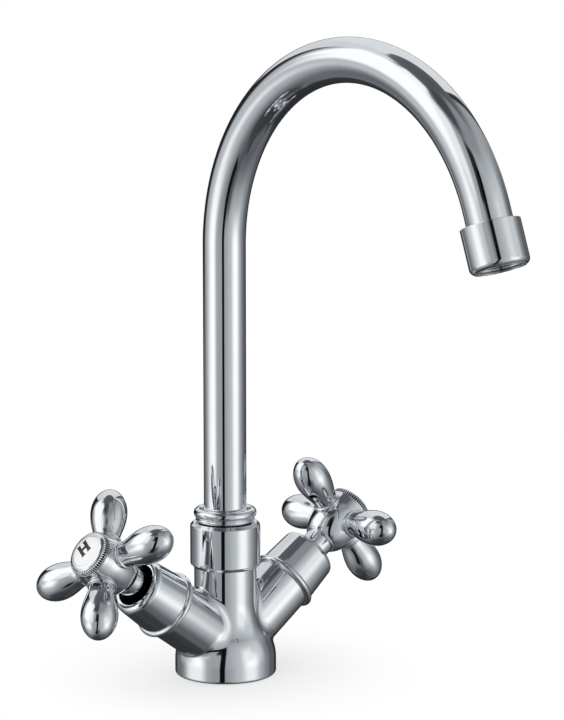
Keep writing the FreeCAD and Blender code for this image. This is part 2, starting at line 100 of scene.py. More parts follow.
def makeFinish(name, look):
    # Soft patches of noise drift the colour from dark to light and the roughness from smooth to
    # rough, and a finer grain is a shallow bump: buffing on metal, a moulded, pressed or fired skin
    # on the rest. A look with an IOR is a non-metal, and any other is metal.
    material, tree, shader, place = newMaterial(name)
    if "ior" in look:
        cloud = {"Detail": 4.0, "Roughness": 0.6}
        shader.inputs["IOR"].default_value = look["ior"]
        shader.inputs["Coat Weight"].default_value = look.get("coat", 0.0)
        shader.inputs["Coat Roughness"].default_value = 0.03
    else:
        cloud = {"Detail": 3.0, "Roughness": 0.55}
        shader.inputs["Metallic"].default_value = 1.0
    patches = addNode(tree, "ShaderNodeTexNoise",
                      {"Vector": place, "Scale": patternScale(look["patch"]), **cloud})
    tint = addNode(tree, "ShaderNodeMix",
                   {"Factor": patches.outputs["Fac"], 6: look["dark"], 7: look["light"]},
                   data_type="RGBA")
    rough = addNode(tree, "ShaderNodeMapRange",
                    {"Value": patches.outputs["Fac"], "From Min": 0.3, "From Max": 0.7,
                     "To Min": look["smooth"], "To Max": look["rough"]})
    grain = addNode(tree, "ShaderNodeTexNoise",
                    {"Vector": place, "Scale": patternScale(look["grain"]), "Detail": 2.0})
    bump = addNode(tree, "ShaderNodeBump",
                   {"Height": grain.outputs["Fac"], "Strength": look["bump"],
                    "Distance": look["depth"] * millimetre})
    tree.links.new(tint.outputs[2], shader.inputs["Base Color"])
    tree.links.new(rough.outputs[0], shader.inputs["Roughness"])
    tree.links.new(bump.outputs[0], shader.inputs["Normal"])
    return material


# Sizes of patch, grain and depth are in millimetres
looks = {
    # Bright chrome plate over buffed brass: nearly a mirror, cool, with faint buffing patches
    "polished_chrome": {"dark": "#e3e6e9", "light": "#eef0f2", "smooth": 0.025, "rough": 0.05,
                        "patch": 9.0, "grain": 2.4, "bump": 0.05, "depth": 0.02},
    # Plain chrome plate that was not buffed: softer reflections than the outside
    "aerator_chrome": {"dark": "#bfc3c7", "light": "#d2d5d8", "smooth": 0.16, "rough": 0.26,
                       "patch": 2.0, "grain": 0.3, "bump": 0.15, "depth": 0.02},
    # Turned brass browned by damp, darker as painted shade in the bonnets: dull, fine tool finish
    "brass": {"dark": "#54442a", "light": "#6a5634", "smooth": 0.42, "rough": 0.55,
              "patch": 3.0, "grain": 0.25, "bump": 0.2, "depth": 0.02},
    # Stainless sheet and wire: neutral grey, satin
    "stainless": {"dark": "#9b9da0", "light": "#b9bbbd", "smooth": 0.24, "rough": 0.36,
                  "patch": 1.5, "grain": 0.2, "bump": 0.2, "depth": 0.02},
    # Fired white enamel: glossy, very slightly warm, with a faint orange peel
    "white_enamel": {"dark": "#eeeeed", "light": "#fafafa", "smooth": 0.08, "rough": 0.16,
                     "ior": 1.5, "coat": 0.4, "patch": 1.1, "grain": 0.9, "bump": 0.12,
                     "depth": 0.03},
    # Lapped alumina: off white, matt with a dull sheen
    "disc_ceramic": {"dark": "#e3e0d8", "light": "#ece9e2", "smooth": 0.24, "rough": 0.32,
                     "ior": 1.76, "patch": 1.2, "grain": 0.15, "bump": 0.1, "depth": 0.01},
    # Nitrile rubber: black and dull, with a fine moulded skin
    "rubber": {"dark": "#171717", "light": "#232323", "smooth": 0.55, "rough": 0.7, "ior": 1.52,
               "patch": 1.5, "grain": 0.2, "bump": 0.25, "depth": 0.02},
    # Natural acetal: milky white, waxy
    "nylon": {"dark": "#dcd9cf", "light": "#e8e5dc", "smooth": 0.36, "rough": 0.46, "ior": 1.48,
              "patch": 2.0, "grain": 0.3, "bump": 0.15, "depth": 0.02},
    # Dark acetal moulding of the aerator
    "aerator_plastic": {"dark": "#1d1e20", "light": "#2a2b2d", "smooth": 0.38, "rough": 0.5,
                        "ior": 1.48, "patch": 1.5, "grain": 0.25, "bump": 0.2, "depth": 0.02},
}
finishes = {slot: makeFinish(slot.replace("_", " "), look) for slot, look in looks.items()}

# Painted shade on the plated, unbuffed wall inside the bonnets: dark, as no light gets in
shadedWallFinish = makeFinish("painted shade on bonnet wall",
                       {"dark": "#1d1e20", "light": "#2b2d2f", "smooth": 0.45, "rough": 0.6,
                        "patch": 3.0, "grain": 0.4, "bump": 0.2, "depth": 0.03})
# Chrome down between the teeth of the coin edge, where no buffing wheel reaches: dull, and dark as
# painted shade in the valleys
coinValleyShadeAndDullPlate = makeFinish("coin edge valley shade and dull plate",
                        {"dark": "#17181a", "light": "#26282b", "smooth": 0.4, "rough": 0.5,
                         "patch": 1.0, "grain": 0.3, "bump": 0.2, "depth": 0.02})
# Black enamel filled into the letters of the index discs: deep black with a soft gloss
letterEnamel = makeFinish("black letter enamel",
                          {"dark": "#101112", "light": "#1a1b1d", "smooth": 0.18, "rough": 0.28,
                           "ior": 1.5, "patch": 1.0, "grain": 0.4, "bump": 0.1, "depth": 0.02})
print("materials made")

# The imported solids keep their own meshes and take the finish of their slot
slotOfNode = {part["node"]: part["material_slot"] for part in frame["record"]["subparts"]}
for nodeName, node in frame["nodes"].items():
    finish = finishes[slotOfNode[nodeName]]
    if not node.material_slots:
        node.data.materials.append(finish)
    for materialSlot in node.material_slots:
        materialSlot.material = finish
print("packed nodes finished:", len(frame["nodes"]))


# Surfaces

roundColumns = 256  # columns of a grid that goes once round


def roundCorners(corners, steps=7):
    # Profile of (radius, height, rounding): a rounded corner becomes an arc tangent to both sides,
    # with a guard point just outside each end of the arc that keeps the flats flat, where the side
    # has room for it.
    corners = [tuple(c) + (0.0,) * (3 - len(c)) for c in corners]
    guardShare, guardLeast, sideShare = 0.12, 0.03, 0.49
    points = []
    for i, (r, z, rounding) in enumerate(corners):
        here = np.array([r, z])
        if rounding <= 0 or i in (0, len(corners) - 1):
            points.append(here)
            continue
        back = np.array(corners[i - 1][:2]) - here
        ahead = np.array(corners[i + 1][:2]) - here
        backLength, aheadLength = np.linalg.norm(back), np.linalg.norm(ahead)
        back, ahead = back / backLength, ahead / aheadLength
        half = math.acos(np.clip(back @ ahead, -1, 1)) / 2
        tangent = rounding / math.tan(half)
        middle = (back + ahead) / np.linalg.norm(back + ahead)
        centre = here + middle * rounding / math.sin(half)
        guard = guardShare * rounding + guardLeast
        if tangent + guard < backLength * sideShare:
            points.append(here + back * (tangent + guard))
        first = here + back * tangent - centre
        last = here + ahead * tangent - centre
        sweep = math.pi - 2 * half
        for k in range(steps + 1):
            share = k / steps
            points.append(centre + (math.sin((1 - share) * sweep) * first
                                    + math.sin(share * sweep) * last) / math.sin(sweep))
        if tangent + guard < aheadLength * sideShare:
            points.append(here + ahead * (tangent + guard))
    return np.array(points)


def cubic(start, pullA, pullB, end, count):
    # Cubic curve: (1-t)^3 A + 3t(1-t)^2 B + 3t^2(1-t) C + t^3 D, as (radius, height) points
    t = np.linspace(0, 1, count)[:, None]
    a, b, c, d = (np.array(p) for p in (start, pullA, pullB, end))
    return (1 - t) ** 3 * a + 3 * t * (1 - t) ** 2 * b + 3 * t * t * (1 - t) * c + t ** 3 * d


def arc(centre, radius, first, last, count):
    # Circle arc: centre + radius (cos a, sin a), a in degrees from first to last
    a = np.radians(np.linspace(first, last, count))
    return np.stack([centre[0] + radius * np.cos(a), centre[1] + radius * np.sin(a)], -1)


def revolve(profile, columns=roundColumns):
    # Each profile point (r, z) goes once round Z: (r cos t, r sin t, z)
    t = np.linspace(0, 2 * np.pi, columns, endpoint=False)
    r, z = profile[:, 0, None], profile[:, 1, None]
    return np.stack([r * np.cos(t), r * np.sin(t), z + 0 * t], -1)


def turnedAbout(grid, axis, degrees):
    # Rotation by an angle about the X, Y or Z axis through the origin
    a = math.radians(degrees)
    c, s = math.cos(a), math.sin(a)
    matrix = {"X": [[1, 0, 0], [0, c, -s], [0, s, c]],
              "Y": [[c, 0, s], [0, 1, 0], [-s, 0, c]],
              "Z": [[c, -s, 0], [s, c, 0], [0, 0, 1]]}[axis]
    return grid @ np.array(matrix).T


arms = {"tilt": 54.4, "crossing": 12.4}


def onArm(grid, side):
    # From a shape along Z to the arm of that side: tilted about Y, then raised to the crossing
    return turnedAbout(grid, "Y", side * arms["tilt"]) + [0, 0, arms["crossing"]]


def shellArrays(grid, looped):
    # Points and faces of one closed surface from a rows x columns grid. Columns wrap round. Rows
    # wrap round too when looped, and otherwise each end is closed by a fan to its middle.
    rows, columns, _ = grid.shape
    points = grid.reshape(-1, 3)
    i = np.arange(rows if looped else rows - 1)[:, None]
    j = np.arange(columns)[None, :]
    nextRow, nextColumn = (i + 1) % rows, (j + 1) % columns
    quads = np.stack([i * columns + j, i * columns + nextColumn,
                      nextRow * columns + nextColumn, nextRow * columns + j], -1).reshape(-1, 4)
    fans = np.zeros((0, 3), int)
    if not looped:
        lowMiddle, lastRow = rows * columns, (rows - 1) * columns
        points = np.vstack([points, grid[0].mean(0), grid[-1].mean(0)])
        j = np.arange(columns)
        k = (j + 1) % columns
        low = np.stack([j * 0 + lowMiddle, k, j], -1)
        high = np.stack([j * 0 + lowMiddle + 1, lastRow + j, lastRow + k], -1)
        fans = np.vstack([low, high])
    # Turned the right way out by the sign of the volume
    triangles = np.vstack([quads[:, [0, 1, 2]], quads[:, [0, 2, 3]], fans])
    a, b, c = (points[triangles[:, n]] for n in range(3))
    if np.einsum("ij,ij->i", a, np.cross(b, c)).sum() < 0:
        quads, fans = quads[:, ::-1], fans[:, ::-1]
    return points, quads, fans


def meshObject(name, shells):
    # One mesh from closed shells. A shell is (grid, looped, material numbers of its faces). Grids
    # of only four columns are bars and stay flat-shaded.
    allPoints, loops, sizes, numbers, smooth, offset = [], [], [], [], [], 0
    for grid, looped, number in shells:
        points, quads, fans = shellArrays(grid, looped)
        faceCount = len(quads) + len(fans)
        allPoints.append(points)
        loops += [(quads + offset).ravel(), (fans + offset).ravel()]
        sizes += [np.full(len(quads), 4), np.full(len(fans), 3)]
        numbers.append(np.broadcast_to(number, faceCount))
        smooth.append(np.full(faceCount, grid.shape[1] > 4))
        offset += len(points)
    points = np.vstack(allPoints) * millimetre
    loops, sizes, numbers = (np.concatenate(x).astype(np.int32) for x in (loops, sizes, numbers))
    starts = np.concatenate([[0], np.cumsum(sizes)[:-1]]).astype(np.int32)
    mesh = bpy.data.meshes.new(name)
    mesh.vertices.add(len(points))
    mesh.vertices.foreach_set("co", points.astype(np.float32).ravel())
    mesh.loops.add(len(loops))
    mesh.loops.foreach_set("vertex_index", loops)
    mesh.polygons.add(len(sizes))
    mesh.polygons.foreach_set("loop_start", starts)
    mesh.polygons.foreach_set("loop_total", sizes)
    mesh.polygons.foreach_set("use_smooth", np.concatenate(smooth))
    mesh.polygons.foreach_set("material_index", numbers)
    mesh.update(calc_edges=True)
    mesh.validate()
    piece = bpy.data.objects.new(name, mesh)
    bpy.context.scene.collection.objects.link(piece)
    return piece


def makePiece(name, shells, body, nodes, slot, extra=()):
    # A piece in its slot's finish, and the extra finishes on the faces with their numbers. It
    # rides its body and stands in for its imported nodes.
    piece = meshObject(name, shells)
    for finish in [finishes[slot], *extra]:
        piece.data.materials.append(finish)
    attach(piece, body)
    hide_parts(*nodes)
    return piece


# Foot, column and arms in one casting

# A flat is the radius at which the rows on an end face start; a fan closes it to the axis. The
# skirt's rows are (how far on, how deep), and its middle (x, z). The holes are (x, y, radius,
# depth), for the two inlets and the fixing stud.
casting = {"footRadius": 23.9, "footEdge": 1.2, "footStraight": 7.0, "flareHeight": 29.0,
           "outerShare": 0.44, "columnRadius": 14.7, "columnHeight": 51.2, "spigotRadius": 13.2,
           "spigotTop": 65.8, "topFlat": 6.0,
           "armRadius": 14.4, "armLength": 42.9, "armEdge": 0.4, "armFlat": 8.0,
           "crotchBlend": 1.6, "flankBlend": 9.0, "furthest": 42.0, "halvings": 45,
           "barrelRows": 26, "blendRows": 24,
           "skirt": [(0.25, 0.006), (0.6, 0.03), (1.2, 0.13), (2.0, 0.6), (2.4, 2.0)],
           "skirtMiddle": (6.0, 25.0), "skirtShare": 0.25,
           "undersideFlat": 17.4, "grooveInside": 18.5, "grooveOutside": 21.1,
           "grooveDepth": 2.0,
           "holes": [(-8.5, 0.0, 4.5, 12.0), (8.5, 0.0, 4.5, 12.0), (0.0, 10.0, 3.4, 14.0)],
           "holeColumns": 96, "sharpAngle": 40}


def flareArcs():
    # The ogee is two arcs with a common tangent between the foot's side and the column's side.
    # Gives their bend in degrees, the outer radius and the inner radius.
    c = casting
    bend = 2 * math.atan2(c["footRadius"] - c["columnRadius"], c["flareHeight"])
    both = c["flareHeight"] / math.sin(bend)
    outer = both * c["outerShare"]
    return math.degrees(bend), outer, both - outer


def trunkProfile():
    # Underside with the seal groove, the foot's straight side, the ogee, the column and the spigot
    # that the collar nut screws on
    c = casting
    bend, outer, inner = flareArcs()
    top = c["footStraight"] + c["flareHeight"]
    foot = roundCorners([(c["undersideFlat"], 0), (c["grooveInside"], 0, 0.1),
                         (c["grooveInside"], c["grooveDepth"], 0.1),
                         (c["grooveOutside"], c["grooveDepth"], 0.1), (c["grooveOutside"], 0, 0.1),
                         (c["footRadius"], 0, c["footEdge"]),
                         (c["footRadius"], c["footStraight"] - 3.0)])
    lower = arc((c["footRadius"] - outer, c["footStraight"]), outer, 0, bend, 40)
    upper = arc((c["columnRadius"] + inner, top), inner, 180 + bend, 180, 44)
    head = roundCorners([(c["columnRadius"], top + 1), (c["columnRadius"], c["columnHeight"], 0.15),
                         (c["spigotRadius"], c["columnHeight"], 0.1),
                         (c["spigotRadius"], c["spigotTop"], 0.3), (c["topFlat"], c["spigotTop"])])
    return np.vstack([foot, [(c["footRadius"], c["footStraight"] - 1.5)], lower, upper[1:], head])


def trunkDistance(points):
    # Signed distance from the trunk's side, and the slope of the trunk at its nearest point, worked
    # out in the plane of radius and height: the column, the foot, or one of the ogee's two arcs
    c = casting
    radius, height = np.hypot(points[:, :1], points[:, 1:2]), points[:, 2:]
    bend, outer, inner = flareArcs()
    top = c["footStraight"] + c["flareHeight"]
    outerCentre, innerCentre = c["footRadius"] - outer, c["columnRadius"] + inner
    turn = np.arctan2(height - c["footStraight"], radius - outerCentre)
    parts = [height > top, turn < 0, turn < math.radians(bend)]  # column, foot, outer arc
    fromOuter = np.hypot(radius - outerCentre, height - c["footStraight"])
    fromInner = np.hypot(radius - innerCentre, height - top)
    distance = np.select(parts, [radius - c["columnRadius"], radius - c["footRadius"],
                                 fromOuter - outer], inner - fromInner)
    slope = np.select(parts, [0 * turn, 0 * turn, turn],
                      np.arctan2(top - height, innerCentre - radius))
    return distance, slope


def armShell(side):
    # Arm barrel with a rolling-ball blend into the trunk. For each angle p round the arm, the
    # ball's centre runs out along a line until it lies one ball radius outside the trunk. The blend
    # is the arc of the ball between its two points of contact. The ball is small in the crotches
    # above and below the arm and large on its flanks, where arm and column are nearly flush:
    # small + (large - small) |sin p|^4.
    c = casting
    tilt = math.radians(arms["tilt"])
    along = np.array([side * math.sin(tilt), 0, math.cos(tilt)])
    up = np.array([-side * math.cos(tilt), 0, math.sin(tilt)])
    origin = np.array([0, 0, arms["crossing"]])
    p = np.linspace(0, 2 * np.pi, roundColumns, endpoint=False)[:, None]
    normal = np.cos(p) * up + np.sin(p) * np.array([0, 1.0, 0])
    ball = c["crotchBlend"] + (c["flankBlend"] - c["crotchBlend"]) * np.sin(p) ** 4
    start = origin + (c["armRadius"] + ball) * normal
    low, high = np.zeros_like(p), np.full_like(p, c["furthest"])
    for _ in range(c["halvings"]):  # of the stretch that holds the ball's place
        middle = (low + high) / 2
        isOff = trunkDistance(start + middle * along)[0] > ball
        low, high = np.where(isOff, low, middle), np.where(isOff, middle, high)
    reach = (low + high) / 2
    centre = start + reach * along
    lean = trunkDistance(centre)[1]
    flat = centre[:, :2] / np.hypot(centre[:, :1], centre[:, 1:2])
    trunkNormal = np.hstack([np.cos(lean) * flat, np.sin(lean)])
    angle = np.arccos(np.clip((normal * trunkNormal).sum(1, keepdims=True), -1, 1))
    end = roundCorners([(c["armFlat"], c["armLength"]),
                        (c["armRadius"], c["armLength"], c["armEdge"]),
                        (c["armRadius"], c["armLength"] - 3)])[:-1]
    rows = [origin + height * along + r * normal for r, height in end]
    first = end[-1][1] - 0.3
    for share in 0.5 - 0.5 * np.cos(np.linspace(0, np.pi, c["barrelRows"])):
        rows.append(origin + (first + (reach - first) * share) * along + c["armRadius"] * normal)
    for share in 0.5 - 0.5 * np.cos(np.linspace(0, np.pi, c["blendRows"]))[1:]:
        spoke = (np.sin((1 - share) * angle) * normal
                 + np.sin(share * angle) * trunkNormal) / np.sin(angle)
        rows.append(centre - ball * spoke)
    # A skirt that carries on along the trunk and sinks under its skin, closed inside the trunk
    away = normal - (normal * trunkNormal).sum(1, keepdims=True) * trunkNormal
    away /= np.linalg.norm(away, axis=1, keepdims=True)
    contact = rows[-1]
    for far, sunk in c["skirt"]:
        rows.append(contact + far * away - sunk * trunkNormal)
    middle = np.array([side * c["skirtMiddle"][0], 0, c["skirtMiddle"][1]])
    rows.append(middle + c["skirtShare"] * (rows[-1] - middle))
    return np.array(rows)


def drill(piece, holes):
    # Blind holes up from 1 mm under the underside, cut out by a Boolean that is applied at once
    shells = [(revolve(np.array([(radius, -1.0), (radius, depth)]), casting["holeColumns"])
               + [x, y, 0], False, 0) for x, y, radius, depth in holes]
    cutter = meshObject("drill", shells)
    modifier = piece.modifiers.new("drilled", "BOOLEAN")
    modifier.object, modifier.operation, modifier.solver = cutter, "DIFFERENCE", "EXACT"
    drilled = piece.evaluated_get(bpy.context.evaluated_depsgraph_get())
    mesh = bpy.data.meshes.new_from_object(drilled)
    piece.modifiers.clear()
    piece.data = mesh
    bpy.data.objects.remove(cutter)


# The trunk is drilled on its own, as one closed shell, and then joins the arms in one mesh
trunk = meshObject("trunk", [(revolve(trunkProfile()), False, 0)])
drill(trunk, casting["holes"])
bodyCasting = makePiece("bodyCasting", [(armShell(-1), False, 0), (armShell(1), False, 0)],
                        "body", ["body_casting"], "polished_chrome")
whole = bmesh.new()
whole.from_mesh(bodyCasting.data)
whole.from_mesh(trunk.data)
whole.to_mesh(bodyCasting.data)
whole.free()
# The rims of the drilled holes are sharp; every other edge is rounded by its own rows
bodyCasting.data.set_sharp_from_angle(angle=math.radians(casting["sharpAngle"]))
bpy.data.objects.remove(trunk)
print("casting made")


# Collar nut and bead ring

collar = {"radius": 16.5, "low": 51.4, "high": 72.8, "chamfer": 1.5, "edge": 0.28,
          "thread": 13.22, "lipLow": 69.8, "mouth": 10.3}


def collarProfile():
    # Plain barrel with a chamfer at both ends, and a lip over the spigot's flange at its top
    c = collar
    waist = c["radius"] - c["chamfer"]
    return roundCorners([(c["thread"], c["low"] + 1), (c["thread"], c["low"], 0.2),
                         (waist, c["low"], c["edge"]),
                         (c["radius"], c["low"] + c["chamfer"], c["edge"] * 2),
                         (c["radius"], c["high"] - c["chamfer"], c["edge"] * 2),
                         (waist, c["high"], c["edge"]),
                         (c["mouth"], c["high"], 0.3), (c["mouth"], c["lipLow"], 0.2),
                         (c["thread"], c["lipLow"], 0.2), (c["thread"], c["lipLow"] - 1)])


makePiece("collarNut", [(revolve(collarProfile()), True, 0)], "body", ["spout_collar_nut"],
          "polished_chrome")

# footTo, from and to are angles in degrees on the circles of the low foot ring and of the bead
bead = {"footRadius": 13.9, "footLow": 73.1, "footHigh": 75.0, "footTo": 70, "radius": 14.8,
        "half": 2.3, "top": 79.4, "from": -62, "to": 172, "bore": 10.02}


def beadProfile():
    # Round bead over a low rounded foot ring, with a valley between them, each the arc of a
    # circle. The bead rolls in to the tube.
    b = bead
    crown, middle = b["radius"] - b["half"], b["top"] - b["half"]
    footHalf = (b["footHigh"] - b["footLow"]) / 2
    foot = arc((b["footRadius"] - footHalf, b["footLow"] + footHalf), footHalf,
               -90, b["footTo"], 20)
    body = arc((crown, middle), b["half"], b["from"], b["to"], 60)
    start = roundCorners([(b["bore"], b["footLow"] + 2), (b["bore"], b["footLow"], 0.2),
                          (12.0, b["footLow"])])[1:-1]
    inside = [(b["bore"], body[-1][1] - 0.1), (b["bore"], b["footLow"] + 2.2)]
    return np.vstack([start, foot, body, inside])


makePiece("spoutBead", [(revolve(beadProfile()), True, 0)], "spout", ["spout_bead_ring"],
          "polished_chrome")


# Spout tube, carried along the riser, the gooseneck and the tail

spout = {"radius": 10.0, "wall": 1.0, "start": 68.3, "riser": 203.4, "bend": 88.4, "sweep": 160.0,
         "tail": 6.4, "socket": 6.0, "endGap": 0.02, "columns": 160, "boreEvery": 8}


def spoutPath():
    # Straight up, round an arc of 160 degrees, then straight on. Gives points and outward
    # directions in the plane of the spout.
    s = spout
    sweep = math.radians(s["sweep"])
    up = np.linspace(s["start"], s["riser"], 36)
    a = np.linspace(0, sweep, 260)[1:]
    on = np.linspace(0, s["tail"] + s["socket"] - s["endGap"], 8)[1:]
    angle = np.concatenate([0 * up, a, sweep + 0 * on])
    y = np.concatenate([0 * up, -s["bend"] * (1 - np.cos(a)),
                        -s["bend"] * (1 - math.cos(sweep)) - math.sin(sweep) * on])
    z = np.concatenate([up, s["riser"] + s["bend"] * np.sin(a),
                        s["riser"] + s["bend"] * math.sin(sweep) + math.cos(sweep) * on])
    centre = np.stack([0 * y, y, z], -1)
    outward = np.stack([0 * y, np.cos(angle), np.sin(angle)], -1)
    return centre, outward


def tubeShell():
    # Circle carried along the path: centre + r (cos t outward + sin t X). The outside runs up the
    # path and the bore runs back on every eighth row, so that the wall is closed at both ends.
    centre, outward = spoutPath()
    t = np.linspace(0, 2 * np.pi, spout["columns"], endpoint=False)[None, :, None]
    ring = np.cos(t) * outward[:, None] + np.sin(t) * np.array([1.0, 0, 0])
    outside = centre[:, None] + spout["radius"] * ring
    bore = centre[:, None] + (spout["radius"] - spout["wall"]) * ring
    return np.concatenate([outside, bore[::-spout["boreEvery"]]])


makePiece("spoutTube", [(tubeShell(), True, 0)], "spout", ["spout_tube"], "polished_chrome")


# Outlet cup with the aerator seen inside it

cup = {"radius": 12.9, "length": 19.5, "edge": 2.6, "topEdge": 0.3, "bore": 11.2, "lipWidth": 0.6,
       "lipHeight": 0.9, "washerLevel": 13.4, "socket": 10.02, "tubeBore": 9.0}


def onTail(grid):
    # From a shape along Z to the end of the gooseneck, Z along the tail
    s = spout
    sweep = math.radians(s["sweep"])
    place = [0, -s["bend"] * (1 - math.cos(sweep)), s["riser"] + s["bend"] * math.sin(sweep)]
    return turnedAbout(grid, "X", s["sweep"]) + place


def cupProfile():
    # Straight cup with a round lower edge and a small lip inside it. Its bore steps in to the
    # washer's seat, the waterway and the socket that holds the tube.
    c, tail = cup, spout["tail"]
    bottom = tail + c["length"]
    socketFloor = tail + spout["socket"]
    return roundCorners([(c["socket"], tail + 2), (c["socket"], tail, 0.15),
                         (c["radius"], tail, c["topEdge"]), (c["radius"], bottom, c["edge"]),
                         (c["bore"] - c["lipWidth"], bottom, 0.35),
                         (c["bore"], bottom - c["lipHeight"], 0.3),
                         (c["bore"], c["washerLevel"], 0.2), (c["tubeBore"], c["washerLevel"], 0.2),
                         (c["tubeBore"], socketFloor, 0.2), (c["socket"], socketFloor, 0.1),
                         (c["socket"], socketFloor - 2)], 9)


makePiece("outletCup", [(onTail(revolve(cupProfile())), True, 0)], "spout", ["outlet_cup"],
          "polished_chrome")
print("spout made")


# Bonnets

bonnet = {"foot": 42.9, "end": 65.4, "baseRadius": 14.9, "tipRadius": 13.8, "beadRadius": 16.4,
          "beadWidth": 3.2, "groove": 0.35, "shoulder": 3.2, "mouth": 10.2, "lip": 0.9,
          "roomRadius": 12.42, "roomEnd": 50.5, "tipRoom": 12.2}


def bonnetProfile():
    # A half-round bead at the foot, a narrow groove, a side that tapers a little, and a quarter
    # ellipse over the shoulder to the mouth. The inside is the room for the valve. Gives both.
    b = bonnet
    crown = b["beadRadius"] - b["beadWidth"] / 2
    beadTop = b["foot"] + b["beadWidth"]
    sideFoot = beadTop + b["groove"]
    shoulder = b["end"] - b["shoulder"]
    neck = b["baseRadius"] - b["groove"]
    lip = b["mouth"] + b["lip"]
    a = np.radians(np.linspace(0, 90, 22))
    brow = np.stack([lip + (b["tipRadius"] - lip) * np.cos(a),
                     shoulder + b["shoulder"] * np.sin(a)], -1)
    outside = np.vstack([
        roundCorners([(b["roomRadius"], b["foot"] + 2), (b["roomRadius"], b["foot"], 0.2),
                      (crown, b["foot"])])[1:-1],
        arc((crown, b["foot"] + b["beadWidth"] / 2), b["beadWidth"] / 2, -90, 90, 26),
        roundCorners([(crown, beadTop), (neck, beadTop, 0.1), (neck, sideFoot, 0.1),
                      (b["baseRadius"], sideFoot, 0.12), (b["tipRadius"], shoulder)])[1:-1],
        [(b["tipRadius"] + 0.02, shoulder - 0.3)], brow,
        roundCorners([(lip, b["end"]), (b["mouth"], b["end"], 0.22),
                      (b["mouth"], shoulder - 0.6)])[1:-1]])
    inside = roundCorners([(b["mouth"], b["end"] - 0.4), (b["mouth"], shoulder, 0.2),
                           (b["tipRoom"], shoulder, 0.2), (b["tipRoom"], b["roomEnd"], 0.2),
                           (b["roomRadius"], b["roomEnd"], 0.2),
                           (b["roomRadius"], b["foot"] + 2.2)])
    return outside, inside


for prefix, side in valveSides:
    outside, inside = bonnetProfile()
    loop = onArm(revolve(np.vstack([outside, inside])), side)
    # The rows of the inside wall take the dark finish of painted shade
    row = np.arange(loop.shape[0] * loop.shape[1]) // loop.shape[1]
    isShadedWall = (row > len(outside)) & (row < len(outside) + len(inside))
    makePiece(prefix + "Bonnet", [(loop, True, isShadedWall)], "body", [prefix + "_bonnet"],
              "polished_chrome", [shadedWallFinish])
print("bonnets made")


# Cross handles

handle = {"neckRadius": 7.1, "neckStart": 60.8, "bellStart": 72.8, "step": 1.2, "bellyRadius": 12.4,
          "lobeLevel": 87.2, "hubEnd": 96.2, "topRadius": 10.9, "neckFlat": 3.0, "topFlat": 4.0,
          "hubColumns": 224,
          "restTurn": {-1: 31.5, 1: -1.5},
          "lobeRoot": 6.0, "ringRadius": 6.8, "ringWidth": 1.5, "lobeBelly": 8.5,
          "bellyReach": 27.3, "lobeTip": 39.5, "lobeColumns": 112}


def hubProfile():
    # Round neck, a small step, a bell that swells in a cubic curve to the level of the lobes, and
    # another cubic that draws in to the seat of the index ring
    h = handle
    rise = h["lobeLevel"] - h["bellStart"]
    foot = h["neckRadius"] + h["step"]
    bulge = h["bellyRadius"] - foot
    narrowing = h["bellyRadius"] - h["topRadius"]
    height = h["hubEnd"] - h["lobeLevel"]
    neck = roundCorners([(h["neckFlat"], h["neckStart"]), (h["neckRadius"], h["neckStart"], 0.3),
                         (h["neckRadius"], h["bellStart"], 0.12), (foot, h["bellStart"], 0.3),
                         (foot + 0.1, h["bellStart"] + 1.0)])[:-1]
    bell = cubic((foot, h["bellStart"] + 0.5), (foot + bulge * 0.55, h["bellStart"] + rise * 0.17),
                 (h["bellyRadius"], h["lobeLevel"] - rise * 0.45),
                 (h["bellyRadius"], h["lobeLevel"]), 40)
    brow = cubic((h["bellyRadius"], h["lobeLevel"]),
                 (h["bellyRadius"], h["lobeLevel"] + height * 0.35),
                 (h["topRadius"] + narrowing * 0.35, h["hubEnd"] - height * 0.35),
                 (h["topRadius"], h["hubEnd"] - 0.5), 24)
    top = roundCorners([(h["topRadius"], h["hubEnd"] - 0.4), (h["topRadius"], h["hubEnd"], 0.25),
                        (h["topFlat"], h["hubEnd"])])[1:]
    return np.vstack([neck, bell, brow[1:], top])


def lobeProfile():
    # Teardrop: a short root with a raised bead at the hub, a cubic swell to the belly and an
    # elliptical tip
    h = handle
    half = h["ringWidth"] / 2
    ring = arc((h["lobeRoot"], h["bellyRadius"]), half, -90, 90, 16)
    raised = (h["ringRadius"] - h["lobeRoot"]) / half
    ring[:, 0] = h["lobeRoot"] + (ring[:, 0] - h["lobeRoot"]) * raised
    start = h["bellyRadius"] + half
    swell = h["bellyReach"] - start
    body = cubic((h["lobeRoot"], start), (h["lobeRoot"], start + swell * 0.25),
                 (h["lobeBelly"], h["bellyReach"] - swell * 0.45),
                 (h["lobeBelly"], h["bellyReach"]), 34)
    a = np.radians(np.linspace(0, 89.8, 36))
    tip = np.stack([h["lobeBelly"] * np.cos(a),
                    h["bellyReach"] + (h["lobeTip"] - h["bellyReach"]) * np.sin(a)], -1)
    root = [(h["lobeRoot"], 5.0), (h["lobeRoot"], start - 2 * half - 0.1)]
    return np.vstack([root, ring, body[1:], tip[1:]])


def handleShells(side):
    # The hub round the arm's axis, and the lobe laid out from it four times, a quarter turn apart
    shells = [(onArm(revolve(hubProfile(), handle["hubColumns"]), side), False, 0)]
    lobe = turnedAbout(revolve(lobeProfile(), handle["lobeColumns"]), "Y", 90)
    lobe = lobe + [0, 0, handle["lobeLevel"]]
    for k in range(4):
        turned = turnedAbout(lobe, "Z", handle["restTurn"][side] + 90 * k)
        shells.append((onArm(turned, side), False, 0))
    return shells


for prefix, side in valveSides:
    makePiece(prefix + "CrossHandle", handleShells(side), prefix + "_handle",
              [prefix + "_cross_handle"], "polished_chrome")
print("cross handles made")


# Index rings with their coin edge, and the enamel discs with a letter

